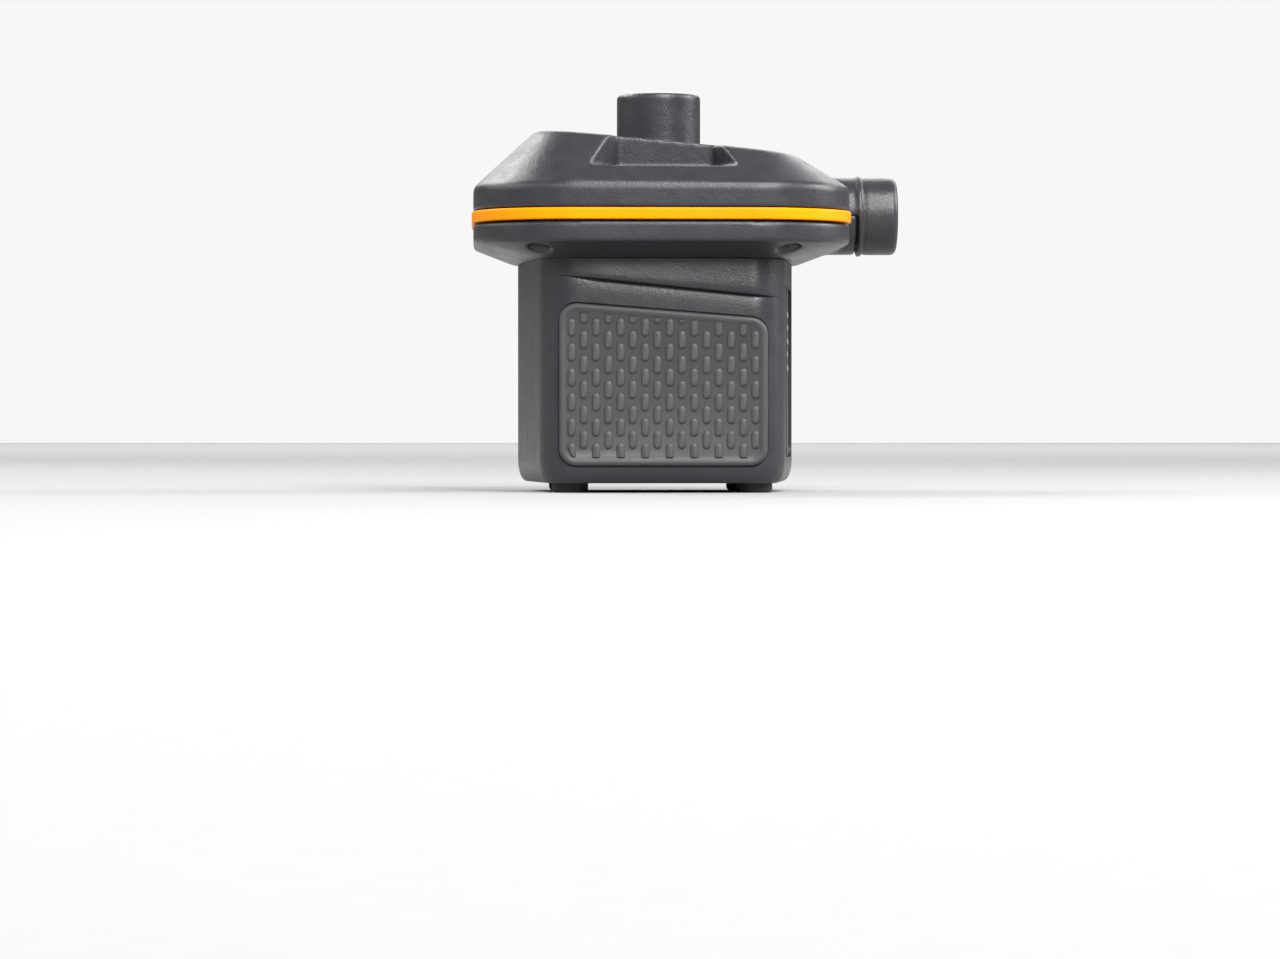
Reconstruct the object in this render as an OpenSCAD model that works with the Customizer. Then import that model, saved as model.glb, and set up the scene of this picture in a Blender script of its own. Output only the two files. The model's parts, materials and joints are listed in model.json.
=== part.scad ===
// Hand-held electric air pump for inflatable beds: a centrifugal blower head on a motor body.
// X runs towards the outlet, -Y is the front with the grip pad, Z is up from the feet.

/* [Head] */
// Width of the head, left to right
head_w = 88; // [82:0.5:110]
// Depth of the head, front to back
head_d = 84; // [80:0.5:104]
// Corner radius of the head in plan
head_r = 24; // [18:0.5:28]
// Height of the sloping underside between the body and the side wall
bevel_h = 3.6; // [2.5:0.1:6]
// Height of the lower side wall, below the trim band
lower_wall_h = 4.5; // [3.5:0.1:7]
// Height of the trim band
band_h = 3.2; // [2:0.1:5]
// How far the trim band stands proud of the walls
band_proud = 0.4; // [0.2:0.1:1]
// Height of the upper side wall, above the trim band
upper_wall_h = 5.4; // [4.5:0.1:9]
// Height of the dome's flat top above the side wall at its left end
dome_left_h = 13.2; // [12.5:0.1:18]
// Height of the dome's flat top above the side wall at its right end
dome_right_h = 7.7; // [7:0.1:12]
// Distance the dome's slopes come in at the left end
dome_left_in = 14.6; // [11:0.1:20]
// Distance the dome's slopes come in at the right end
dome_right_in = 13.2; // [11:0.1:20]
// Distance the dome's slopes come in at the front and the back
dome_front_in = 13; // [11:0.1:18]
// Wall thickness of both head shells
shell_wall = 2.2; // [1.8:0.1:2.8]

/* [Ports] */
// Outer diameter of the top port, where air goes in
port_od = 19.8; // [16:0.1:24]
// Height of the top port's rim above the body's top
port_rise = 39.7; // [35:0.1:48]
// Outer diameter of the side outlet
outlet_od = 18.7; // [15.5:0.1:22.5]
// Distance the outlet stands out from the head's right side
outlet_reach = 14.5; // [12:0.5:26]
// Height of the outlet's axis above the body's top
outlet_rise = 12; // [11:0.1:14.5]
// Distance of the outlet's axis behind the motor axis
outlet_back = 22; // [20:0.5:24]
// Wall thickness of the two ports
port_wall = 2; // [1.6:0.1:2.4]

/* [Body] */
// Width of the body at its back
body_w = 66.5; // [62:0.5:80]
// Width of the body at its front
body_front_w = 57.5; // [54:0.5:70]
// Depth of the body, front to back
body_d = 61; // [57:0.5:73]
// Height of the body, from the base to the head
body_h = 52.2; // [50:0.1:63]
// Wall thickness of the body
body_wall = 2.4; // [1.8:0.1:3]
// Thickness of the panel that closes the body's top
panel_h = 2.8; // [2:0.1:4]
// Height of the feet below the base
foot_h = 2.2; // [1.5:0.1:4]
// Diameter of the feet
foot_d = 8.5; // [7:0.1:11]

/* [Grip pad] */
// Width of the grip pad
pad_w = 48.2; // [40:0.1:52]
// Height of the grip pad at its left side
pad_left_h = 37.6; // [31:0.1:40]
// Height of the grip pad at its right side
pad_right_h = 34.4; // [28:0.1:37]
// Height of the grip pad's lower edge above the base
pad_rise = 4.1; // [3:0.1:8]
// Thickness of the grip pad
pad_t = 2; // [1.5:0.1:3]

/* [Motor and impeller] */
// Diameter of the motor can
motor_d = 35.8; // [29:0.1:43]
// Length of the motor can
motor_h = 38; // [32:0.1:39.5]
// Diameter of the motor shaft
shaft_d = 3.17; // [2.3:0.01:4]
// Running clearance between the shaft and its bushings, on the radius
shaft_clear = 0.03; // [0.01:0.01:0.08]
// Diameter of the impeller
impeller_d = 50; // [42:0.5:51]
// Number of impeller blades
blade_count = 9; // [6:1:12]

/* [Switch and inlet] */
// Width of the rocker switch's bezel
switch_w = 10.6; // [9:0.1:13]
// Height of the rocker switch's bezel
switch_h = 15; // [13:0.1:18]
// Travel of the rocker between off and on, in degrees
rocker_travel = 20; // [12:1:24]
// Diameter of the inlet socket's hole
inlet_bore = 5.5; // [4:0.1:7]
// Diameter of the inlet socket's centre pin
inlet_pin_d = 2.1; // [1.3:0.1:2.5]

/* [Fits] */
// Clearance between moulded parts that locate each other
part_clear = 0.15; // [0.1:0.01:0.3]
// Clearance between a screw's shank and the hole it goes through
screw_clear = 0.2; // [0.1:0.05:0.4]
// Clearance between the impeller and the chamber's walls
blade_clear = 1; // [0.8:0.1:2]

/* [Hidden] */
$fn = 64;
hull_fn = 32;
eps = 0.01;

shell_grey = "#4b4b50";
rubber_grey = "#57575b";
band_orange = "#ffae00";
part_black = "#1d1d1f";
steel = "#b9bbbe";

// Heights of the main levels
base_z = foot_h;
deck_z = base_z + body_h;
side_z = deck_z + bevel_h;
band_z = side_z + lower_wall_h;
rim_z = band_z + band_h;
dome_z = rim_z + upper_wall_h;
port_z = deck_z + port_rise;
outlet_z = deck_z + outlet_rise;

// The part's frame is centred on its own width, so the motor axis lies to the left of it
outlet_end_x = head_w / 2 + outlet_reach;
motor_x = (head_w / 2 + band_proud - outlet_end_x) / 2;

// Blower chamber
port_r = port_od / 2;
port_bore_r = port_r - port_wall;
outlet_r = outlet_od / 2;
outlet_bore_r = outlet_r - port_wall;
duct_r = outlet_bore_r - 0.4;
chamber_wall = 1.6;
chamber_floor_z = deck_z + 4.2;
chamber_top_z = dome_z + 0.3;
lid_h = 1.5;
scroll_start_r = impeller_d / 2 + blade_clear;
scroll_growth = 6.5;
scroll_sweep = 290;
scroll_first = 20;
tongue_span = 40;
duct_end_x = head_w / 2 - dome_right_in - 0.6;
collar_end_x = outlet_end_x - 10.1;
tube_start_x = collar_end_x + 0.3;
bead_w = 1.3;
bead_proud = 0.4;
lip_r = 1.4;

// Screws: shank and head radii, head heights
thread_clear = 0.05;
housing_screw_x = 28.75;
housing_screw_y = 35;
housing_shank_r = 1.3;
housing_head_r = 2.3;
housing_head_h = 1.4;
housing_seat_z = side_z + 0.2;
housing_floor_z = side_z + 2.2;
housing_boss_r = 2.6;
deck_screw_x = body_w / 2 - body_wall - 7.1;
deck_screw_y = body_d / 2 - body_wall - 6.1;
deck_shank_r = 1.5;
deck_head_r = 2.8;
deck_head_h = 2;
deck_bite = 3;
base_screw_x = 12;
base_screw_y = body_d / 2 - body_wall - 3;
base_plate_h = 2.6;
base_post_r = 3.4;
base_post_h = 11;

// Body outline: corner radii, and half sizes
body_front_r = 6.5;
body_back_r = 8;
corner_steps = 8;
body_front_y = -body_d / 2;
body_back_y = body_d / 2;
cowl_t = 1.2;
cowl_left_z = deck_z - 4;
cowl_right_z = deck_z - 8.9;
cowl_half_w = 26;
pad_r = 4;
pad_gap = 0.35;
pad_sink = 1.3;
flare = atan((body_w - body_front_w) / 2 / body_d);
label_h = 40;
label_d = 34;
label_t = 0.5;
label_sink = 0.7;
foot_x = body_front_w / 2 - body_wall - foot_d / 2 - 0.6;
foot_y = 21.5;
foot_plug_h = 1;

// Motor
motor_r = motor_d / 2;
can_t = 1.2;
can_bottom_z = deck_z - motor_h;
boss_r = 6.5;
boss_h = 2.6;
bell_h = 4;
bell_z = can_bottom_z - bell_h;
bushing_r = 3.4;
armature_r = motor_r - 6.2;
armature_low_z = can_bottom_z + 9;
armature_top_z = deck_z - 9;
shaft_low_z = bell_z + 0.8;
shaft_top_z = chamber_top_z - 2.2;
motor_screw_r = 12.5;
motor_screw_shank_r = 1.5;
motor_screw_head_r = 2.7;
motor_screw_head_h = 1.6;
terminal_x = motor_r * 0.62;

// Impeller
disc_z = chamber_floor_z + blade_clear;
disc_h = 1.4;
blade_top_z = chamber_top_z - blade_clear;
blade_t = 1;
hub_r = 4.6;
insert_r = 2.9;

// Switch and inlet, on the back wall
switch_x = -13;
inlet_x = 13;
rear_z = base_z + 27;
switch_plug_w = switch_w - 2;
switch_plug_h = switch_h - 2;
switch_depth = 11;
bezel_t = 1.8;
rocker_w = switch_plug_w - 2.4;
rocker_h = switch_plug_h - 2.6;
rocker_axis_y = body_back_y - 0.6;
socket_r = inlet_bore / 2 + 1.3;
socket_depth = 11;
socket_flange_r = socket_r + 1.6;
socket_flange_t = 1.6;
nut_r = socket_r + 2;
nut_t = 2;
lead_r = 0.75;
inlet_tab_z = 2.5;

// ---------- outlines ----------

module in_frame() { translate([motor_x, 0, 0]) children(); }

// Rectangle with true round corners
module round_rect(w, d, r) {
    square([w - 2 * r, d], center = true);
    square([w, d - 2 * r], center = true);
    for (sx = [-1, 1], sy = [-1, 1])
        translate([sx * (w / 2 - r), sy * (d / 2 - r)]) circle(r);
}

module head_outline(inset) { round_rect(head_w - 2 * inset, head_d - 2 * inset, head_r - inset); }

// Points of an arc about centre c, in equal steps
function arc(c, r, from, to) = [for (i = [0 : corner_steps])
    let (a = from + (to - from) * i / corner_steps) c + r * [cos(a), sin(a)]];

// Body outline: narrower at the front, with round corners that its slanted sides meet at a tangent
module body_outline(inset) {
    front_r = body_front_r - inset;
    back_r = body_back_r - inset;
    front = [body_front_w / 2 - body_front_r, body_front_y + body_front_r];
    back = [body_w / 2 - body_back_r, body_back_y - body_back_r];
    along = back - front;
    side = atan2(along[1], along[0]) - acos((front_r - back_r) / norm(along));
    polygon(concat(
        arc(front, front_r, -90, side),
        arc(back, back_r, side, 90),
        arc([-back[0], back[1]], back_r, 90, 180 - side),
        arc([-front[0], front[1]], front_r, 180 - side, 270)));
}

// Outline of the grip pad, drawn in X and Z with its lower edge on Z = 0
module pad_outline(inset) {
    r = pad_r - inset;
    hull() {
        for (s = [-1, 1]) translate([s * (pad_w / 2 - pad_r), pad_r]) circle(r, $fn = hull_fn);
        translate([-pad_w / 2 + pad_r, pad_left_h - pad_r]) circle(r, $fn = hull_fn);
        translate([pad_w / 2 - pad_r, pad_right_h - pad_r]) circle(r, $fn = hull_fn);
    }
}

// Spiral that opens out clockwise, seen from above, towards the outlet
function scroll_r(turn) = scroll_start_r + scroll_growth * turn / scroll_sweep;
module scroll_outline(extra) {
    polygon(concat(
        [for (turn = [0 : 10 : scroll_sweep])
            (scroll_r(turn) + extra) * [cos(scroll_first - turn), sin(scroll_first - turn)]],
        [for (a = [tongue_span : -10 : 10])
            (scroll_start_r + extra) * [cos(scroll_first + a), sin(scroll_first + a)]]));
}

module along_x(y, z, x) { translate([x, y, z]) rotate([0, 90, 0]) children(); }
module along_y(x, y, z) { translate([x, y, z]) rotate([-90, 0, 0]) children(); }

module corners(x, y) {
    for (sx = [-1, 1], sy = [-1, 1]) translate([sx * x, sy * y, 0]) children();
}

// Pan-head screw with its seat on Z = 0 and its shank pointing up
module screw(shank_r, length, head_r, head_h) {
    difference() {
        translate([0, 0, -head_h]) cylinder(r = head_r, h = head_h);
        translate([0, 0, -head_h - eps]) {
            translate([-head_r * 0.6, -0.3, 0]) cube([head_r * 1.2, 0.6, head_h * 0.5]);
            translate([-0.3, -head_r * 0.6, 0]) cube([0.6, head_r * 1.2, head_h * 0.5]);
        }
    }
    cylinder(r = shank_r, h = length - 0.8);
    translate([0, 0, length - 0.8]) cylinder(r1 = shank_r, r2 = shank_r * 0.4, h = 0.8);
}

// ---------- blower chamber ----------

// The space that the air passes through, from the impeller to the outlet's rim
module air_space() {
    translate([0, 0, chamber_floor_z]) linear_extrude(chamber_top_z - chamber_floor_z)
        scroll_outline(0);
    along_x(outlet_back, outlet_z, 0) cylinder(r = duct_r, h = outlet_end_x);
}

// The chamber's wall and the duct's wall, before the air space is taken out
module chamber_block() {
    translate([0, 0, deck_z + 1]) linear_extrude(chamber_top_z + lid_h - deck_z - 1)
        scroll_outline(chamber_wall);
    along_x(outlet_back, outlet_z, 0) cylinder(r = outlet_r, h = duct_end_x);
}

module above(z) { translate([-100, -100, z]) cube([200, 200, 100]); }
module below(z) { translate([-100, -100, z - 100]) cube([200, 200, 100]); }

// ---------- head ----------

// Dome and upper wall as one solid, taken in by inset on every side
module dome_solid(inset) {
    left_x = -head_w / 2 + dome_left_in + inset * 0.5;
    right_x = head_w / 2 - dome_right_in - inset * 0.5;
    left_z = dome_z + dome_left_h - inset;
    right_z = dome_z + dome_right_h - inset;
    top_w = norm([right_x - left_x, right_z - left_z]);
    top_d = head_d - 2 * dome_front_in - inset;
    translate([0, 0, rim_z]) linear_extrude(upper_wall_h - inset * 0.3) head_outline(inset);
    hull() {
        translate([0, 0, dome_z - inset * 0.3 - 0.5]) linear_extrude(0.5)
            round_rect(head_w - 2 * inset, head_d - 2 * inset, head_r - inset, $fn = hull_fn);
        translate([(left_x + right_x) / 2, 0, (left_z + right_z) / 2])
            rotate([0, atan((left_z - right_z) / (right_x - left_x)), 0])
            translate([0, 0, -0.5]) linear_extrude(0.5) round_rect(top_w, top_d, 9, $fn = hull_fn);
    }
}

guard_z = chamber_top_z + lid_h + 1;
guard_h = 2.4;
guard_ledge = 0.6;

// The port's root tapers up to a plain round wall, which starts just clear of the dome's top
port_root_z = dome_z + dome_left_h - 1.3;
port_root_flare = 0.6;

pocket_floor_z = dome_z + 4.3;
pocket_back_y = -port_r - 15;
pocket_back_w = 22;
pocket_front_w = 36;

// Recess in the dome's front slope, below the port
module pocket(extra) {
    translate([0, 0, pocket_floor_z - extra]) linear_extrude(40) polygon([
        [-pocket_front_w / 2 - extra, -head_d / 2 + 4],
        [-pocket_back_w / 2 - extra, pocket_back_y + extra],
        [pocket_back_w / 2 + extra, pocket_back_y + extra],
        [pocket_front_w / 2 + extra, -head_d / 2 + 4]]);
}

// Tube with a rounded rim, its axis on Z
module rimmed_tube(r, h) {
    rotate_extrude() union() {
        square([r, h - lip_r]);
        square([r - lip_r, h]);
        translate([r - lip_r, h - lip_r]) circle(lip_r);
    }
}

// Cross and ring at the foot of the top port, which keep fingers off the impeller
module port_guard() {
    reach = 2 * port_bore_r;
    rib_t = 1.2;
    ring_r = port_bore_r * 0.53;
    translate([0, 0, guard_z]) {
        translate([-reach / 2, -rib_t / 2, 0]) cube([reach, rib_t, guard_h]);
        translate([-rib_t / 2, -reach / 2, 0]) cube([rib_t, reach, guard_h]);
        difference() {
            cylinder(r = ring_r, h = guard_h);
            translate([0, 0, -1]) cylinder(r = ring_r - rib_t, h = guard_h + 2);
        }
    }
}

module upper_housing() {
    lid_z = chamber_top_z + lid_h;
    color(shell_grey) in_frame() {
        difference() {
            union() {
                difference() {
                    dome_solid(0);
                    difference() {
                        dome_solid(shell_wall);
                        pocket(shell_wall);
                    }
                    translate([0, 0, rim_z - eps]) linear_extrude(1) head_outline(shell_wall);
                }
                translate([0, 0, lid_z + part_clear])
                    cylinder(r1 = port_r + port_root_flare, r2 = port_r,
                             h = port_root_z - lid_z - part_clear);
                translate([0, 0, port_root_z]) rimmed_tube(port_r, port_z - port_root_z);
                along_x(outlet_back, outlet_z, tube_start_x) {
                    rimmed_tube(outlet_r, outlet_end_x - tube_start_x);
                    cylinder(r = outlet_r + bead_proud, h = bead_w);
                }
                intersection() {
                    along_x(outlet_back, outlet_z, duct_end_x + part_clear)
                        cylinder(r = outlet_r, h = collar_end_x - duct_end_x + 1);
                    above(outlet_z);
                }
                corners(housing_screw_x, housing_screw_y)
                    translate([0, 0, housing_floor_z])
                    cylinder(r = housing_boss_r, h = rim_z + 1 - housing_floor_z);
                intersection() {
                    corners(housing_screw_x, housing_screw_y)
                        translate([0, 0, housing_floor_z]) cylinder(r = housing_boss_r, h = 14);
                    dome_solid(shell_wall * 0.5);
                }
            }
            pocket(0);
            translate([0, 0, guard_z + guard_h]) cylinder(r = port_bore_r, h = 60);
            translate([0, 0, lid_z]) cylinder(r = port_bore_r - guard_ledge, h = 60);
            intersection() {
                along_x(outlet_back, outlet_z, duct_end_x)
                    cylinder(r = outlet_r + part_clear, h = tube_start_x - duct_end_x);
                below(outlet_z + part_clear);
            }
            along_x(outlet_back, outlet_z, 0) cylinder(r = outlet_r + part_clear, h = duct_end_x);
            along_x(outlet_back, outlet_z, 0) cylinder(r = duct_r, h = outlet_end_x);
            along_x(outlet_back, outlet_z, tube_start_x) cylinder(r = outlet_bore_r, h = 60);
            corners(housing_screw_x, housing_screw_y)
                translate([0, 0, housing_floor_z - 1])
                cylinder(r = housing_shank_r + thread_clear, h = 10);
        }
        port_guard();
    }
}

module lower_housing() {
    color(shell_grey) in_frame() difference() {
        union() {
            hull() {
                translate([0, 0, side_z]) linear_extrude(0.2)
                    round_rect(head_w, head_d, head_r, $fn = hull_fn);
                translate([0, 0, deck_z]) linear_extrude(0.2) body_outline(-1);
            }
            translate([0, 0, side_z]) linear_extrude(housing_floor_z - side_z) head_outline(0);
            difference() {
                union() {
                    translate([0, 0, side_z]) linear_extrude(lower_wall_h) head_outline(0);
                    translate([0, 0, side_z]) linear_extrude(lower_wall_h + band_h - part_clear)
                        head_outline(shell_wall + part_clear);
                }
                translate([0, 0, side_z - 1]) linear_extrude(20) head_outline(2 * shell_wall);
            }
            intersection() {
                chamber_block();
                below(outlet_z);
            }
            intersection() {
                along_x(outlet_back, outlet_z, duct_end_x - 1)
                    cylinder(r = outlet_r, h = collar_end_x - duct_end_x + 1);
                below(outlet_z);
            }
        }
        air_space();
        translate([0, 0, deck_z - 1]) cylinder(r = boss_r + part_clear, h = 10);
        for (s = [-1, 1]) translate([s * motor_screw_r, 0, 0]) {
            translate([0, 0, deck_z - 1]) cylinder(r = motor_screw_shank_r + screw_clear, h = 10);
            translate([0, 0, chamber_floor_z - motor_screw_head_h - 0.2])
                cylinder(r = motor_screw_head_r + screw_clear, h = 5);
        }
        corners(deck_screw_x, deck_screw_y) translate([0, 0, deck_z - 1])
            cylinder(r = deck_shank_r + thread_clear, h = deck_bite + 1.3);
        corners(housing_screw_x, housing_screw_y) {
            translate([0, 0, housing_floor_z])
                cylinder(r = housing_boss_r + part_clear, h = 20);
            translate([0, 0, deck_z - 5]) cylinder(r = housing_head_r + screw_clear,
                                                   h = housing_seat_z - deck_z + 5);
            translate([0, 0, deck_z]) cylinder(r = housing_shank_r + screw_clear, h = 12);
        }
    }
}

module trim_band() {
    color(band_orange) in_frame() difference() {
        translate([0, 0, band_z]) linear_extrude(band_h) difference() {
            head_outline(-band_proud);
            head_outline(shell_wall);
        }
        along_x(outlet_back, outlet_z, duct_end_x) cylinder(r = outlet_r + part_clear, h = 60);
    }
}

module volute_cover() {
    color(part_black) in_frame() difference() {
        intersection() {
            chamber_block();
            above(outlet_z);
        }
        air_space();
        translate([0, 0, outlet_z]) cylinder(r = port_bore_r, h = 30);
    }
}

// ---------- body ----------

// Outside of the body as one solid, with its lower edge rounded off in two steps
module body_bulk(inset) {
    hull() {
        for (step = [[0, 2.4], [0.9, 0.8], [2.8, 0]])
            translate([0, 0, base_z + step[0]]) linear_extrude(0.1)
                body_outline(inset + step[1]);
        translate([0, 0, deck_z - 0.1]) linear_extrude(0.1) body_outline(inset);
    }
}

// Proud upper part of the front, with a lower edge that slopes down to the right
module cowl() {
    along_y(0, body_front_y - cowl_t, 0) linear_extrude(cowl_t + body_wall - 0.3) polygon([
        [-cowl_half_w, -deck_z + 1],
        [-cowl_half_w, -cowl_left_z],
        [cowl_half_w, -cowl_right_z],
        [cowl_half_w, -deck_z + 1]]);
}

// Places a shape on the right side wall, which flares towards the back
module on_right_side() {
    translate([(body_w + body_front_w) / 4, 0, 0]) rotate([0, 0, -flare]) children();
}

module pad_place(z_up) {
    translate([0, body_front_y, base_z + pad_rise + z_up]) rotate([90, 0, 0]) children();
}

module body_shell() {
    pad_backing = pad_sink + 1.3;
    color(shell_grey) in_frame() difference() {
        union() {
            difference() {
                body_bulk(0);
                translate([0, 0, base_z - 1]) linear_extrude(body_h - panel_h + 1)
                    body_outline(body_wall);
            }
            intersection() {
                translate([0, 0, base_z + base_plate_h + 1.5])
                    linear_extrude(body_h - panel_h - base_plate_h - 1) body_outline(1);
                translate([-50, body_front_y, 0]) cube([100, pad_backing, 100]);
            }
            cowl();
            intersection() {
                corners(base_screw_x, base_screw_y) translate([0, 0, base_z + base_plate_h])
                    cylinder(r = base_post_r, h = base_post_h);
                body_bulk(1);
            }
        }
        translate([0, 0, deck_z - panel_h - 1]) cylinder(r = motor_r + part_clear, h = 10);
        corners(deck_screw_x, deck_screw_y) translate([0, 0, deck_z - panel_h - 1])
            cylinder(r = deck_shank_r + screw_clear, h = 10);
        corners(base_screw_x, base_screw_y) translate([0, 0, base_z])
            cylinder(r = deck_shank_r + thread_clear, h = base_post_h);
        pad_place(0) translate([0, 0, -pad_sink]) linear_extrude(20) pad_outline(-pad_gap);
        on_right_side() translate([-label_sink, -label_d / 2, base_z + 6])
            cube([10, label_d, label_h]);
        translate([switch_x - switch_plug_w / 2 - part_clear, body_back_y - 8,
                   rear_z - switch_plug_h / 2 - part_clear])
            cube([switch_plug_w + 2 * part_clear, 20, switch_plug_h + 2 * part_clear]);
        along_y(inlet_x, body_back_y - 8, rear_z) cylinder(r = socket_r + part_clear, h = 20);
    }
}

module base_cover() {
    vent_count = 7;
    vent_pitch = 4.2;
    color(shell_grey) in_frame() difference() {
        union() {
            translate([0, 0, base_z]) linear_extrude(base_plate_h)
                body_outline(body_wall + part_clear);
            translate([0, 0, base_z + base_plate_h]) difference() {
                cylinder(r = motor_r - 1, h = 2);
                translate([0, 0, -1]) cylinder(r = motor_r - 5, h = 5);
            }
        }
        for (i = [0 : vent_count - 1]) translate([(i - (vent_count - 1) / 2) * vent_pitch, 0, 0])
            translate([-0.9, -10, base_z - 1]) cube([1.8, 20, 8]);
        corners(base_screw_x, base_screw_y) {
            translate([0, 0, base_z - 1]) cylinder(r = deck_head_r + screw_clear, h = 1 + 1.4);
            translate([0, 0, base_z]) cylinder(r = deck_shank_r + screw_clear, h = 10);
        }
        corners(foot_x, foot_y) translate([0, 0, base_z - 1])
            cylinder(d = foot_d + 2 * part_clear, h = 1 + foot_plug_h);
    }
}

module rubber_feet() {
    color(part_black) in_frame() corners(foot_x, foot_y) {
        cylinder(d1 = foot_d - 1, d2 = foot_d, h = 0.5);
        translate([0, 0, 0.5]) cylinder(d = foot_d, h = base_z + foot_plug_h - 0.5);
    }
}

module grip_pad() {
    rim_h = 0.6;
    color(rubber_grey) in_frame() pad_place(0) translate([0, 0, -pad_sink]) {
        linear_extrude(pad_t - rim_h) pad_outline(0);
        difference() {
            linear_extrude(pad_t) pad_outline(0.5);
            translate([0, 0, pad_t - 0.5]) linear_extrude(1) pad_outline(2);
        }
    }
}

module label_plate() {
    color("silver") in_frame() on_right_side()
        translate([-label_sink, -label_d / 2 + 0.2, base_z + 6.2])
        cube([label_t, label_d - 0.4, label_h - 0.4]);
}

module housing_screws() {
    color(steel) in_frame() corners(housing_screw_x, housing_screw_y)
        translate([0, 0, housing_seat_z]) screw(housing_shank_r, 9, housing_head_r, housing_head_h);
}

module deck_screws() {
    color(steel) in_frame() corners(deck_screw_x, deck_screw_y)
        translate([0, 0, deck_z - panel_h])
        screw(deck_shank_r, panel_h + deck_bite, deck_head_r, deck_head_h);
}

module base_screws() {
    color(steel) in_frame() corners(base_screw_x, base_screw_y)
        translate([0, 0, base_z + 1.4]) screw(deck_shank_r, 8, deck_head_r, 1.2);
}

// ---------- impeller and motor ----------

module impeller() {
    root_r = hub_r + 2;
    sweep = 38;
    arc_r = (impeller_d / 2 - root_r) / 2 / sin(sweep / 2) * 1.02;
    color("#34343a") in_frame() difference() {
        union() {
            translate([0, 0, disc_z]) cylinder(d = impeller_d, h = disc_h);
            translate([0, 0, disc_z]) cylinder(r = hub_r, h = shaft_top_z - disc_z - 0.5);
            for (i = [0 : blade_count - 1]) rotate([0, 0, 360 * i / blade_count])
                intersection() {
                    translate([root_r, 0, disc_z + disc_h / 2]) rotate([0, 0, -8])
                        translate([0, arc_r, 0]) difference() {
                            cylinder(r = arc_r + blade_t, h = blade_top_z - disc_z - disc_h / 2);
                            translate([0, 0, -1]) cylinder(r = arc_r, h = 30);
                        }
                    translate([root_r - 0.5, -impeller_d / 4, 0])
                        cube([impeller_d, impeller_d / 2, 100]);
                    cylinder(d = impeller_d - 0.4, h = 100);
                    cube([100, 100, 100]);
                }
        }
        translate([0, 0, disc_z - 1]) cylinder(r = insert_r, h = 40);
        translate([0, 0, blade_top_z - 1.5]) difference() {
            cylinder(r = port_bore_r + 1, h = 10);
            translate([0, 0, -1]) cylinder(r = hub_r + 0.01, h = 20);
        }
    }
}

module impeller_insert() {
    color("#c9a24a") in_frame() translate([0, 0, disc_z]) difference() {
        cylinder(r = insert_r, h = shaft_top_z - disc_z - 0.5);
        translate([0, 0, -1]) cylinder(d = shaft_d, h = 40);
    }
}

module motor_shaft() {
    color(steel) in_frame() translate([0, 0, shaft_low_z])
        cylinder(d = shaft_d, h = shaft_top_z - shaft_low_z);
}

// Laminated core with straight slots
module motor_armature() {
    color("#6d6f73") in_frame() difference() {
        translate([0, 0, armature_low_z]) cylinder(r = armature_r, h = armature_top_z - armature_low_z);
        for (i = [0 : 4]) rotate([0, 0, 72 * i]) translate([armature_r * 0.5, -0.8, 0])
            cube([armature_r, 1.6, 100]);
        translate([0, 0, armature_low_z - 1]) cylinder(d = shaft_d, h = 100);
    }
}

module motor_windings() {
    end_h = 3;
    color("#b2622c") in_frame() for (z = [armature_low_z - end_h, armature_top_z])
        translate([0, 0, z]) difference() {
            rotate_extrude() translate([armature_r * 0.35, 0]) union() {
                square([armature_r * 0.5, end_h]);
                translate([armature_r * 0.5, end_h / 2]) circle(end_h / 2);
            }
            translate([0, 0, -1]) cylinder(r = armature_r * 0.35, h = 10);
        }
}

module motor_commutator() {
    color("#c87b3d") in_frame() translate([0, 0, can_bottom_z + 0.8]) difference() {
        cylinder(r = armature_r * 0.33, h = armature_low_z - can_bottom_z - 0.8);
        translate([0, 0, -1]) cylinder(d = shaft_d, h = 40);
    }
}

module motor_can() {
    color(steel) in_frame() difference() {
        union() {
            translate([0, 0, can_bottom_z]) cylinder(r = motor_r, h = motor_h);
            translate([0, 0, deck_z - eps]) cylinder(r = boss_r, h = boss_h);
        }
        translate([0, 0, can_bottom_z - 1]) cylinder(r = motor_r - can_t, h = motor_h - can_t + 1);
        translate([0, 0, deck_z - 3]) cylinder(r = bushing_r, h = 10);
        for (s = [-1, 1]) translate([s * motor_screw_r, 0, deck_z - 5])
            cylinder(r = motor_screw_shank_r + thread_clear, h = 10);
        for (a = [45, 225]) rotate([0, 0, a]) translate([0, 0, deck_z - 14])
            cube([motor_d, 7, 5], center = true);
    }
}

module motor_end_bell() {
    color("#26262a") in_frame() difference() {
        union() {
            translate([0, 0, bell_z]) cylinder(r = motor_r - can_t - 0.1, h = bell_h);
            translate([0, 0, can_bottom_z - 0.4]) cylinder(r = motor_r - can_t - 0.1, h = 1.2);
        }
        translate([0, 0, can_bottom_z - 1.2]) cylinder(r = motor_r - can_t - 2, h = 5);
        translate([0, 0, bell_z + 0.6]) cylinder(r = bushing_r, h = 10);
        for (s = [-1, 1]) translate([s * terminal_x, 0, bell_z + bell_h / 2])
            cube([1.2, 3.4, bell_h + 2], center = true);
    }
}

module motor_magnets() {
    color("#3a3a3d") in_frame() for (s = [-1, 1]) intersection() {
        translate([0, 0, can_bottom_z + 5]) difference() {
            cylinder(r = motor_r - can_t - 0.05, h = motor_h - 11);
            translate([0, 0, -1]) cylinder(r = armature_r + 0.6, h = motor_h);
        }
        translate([-motor_r * 0.62, s > 0 ? armature_r * 0.55 : -50 - armature_r * 0.55, 0])
            cube([motor_r * 1.24, 50, 100]);
    }
}

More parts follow.
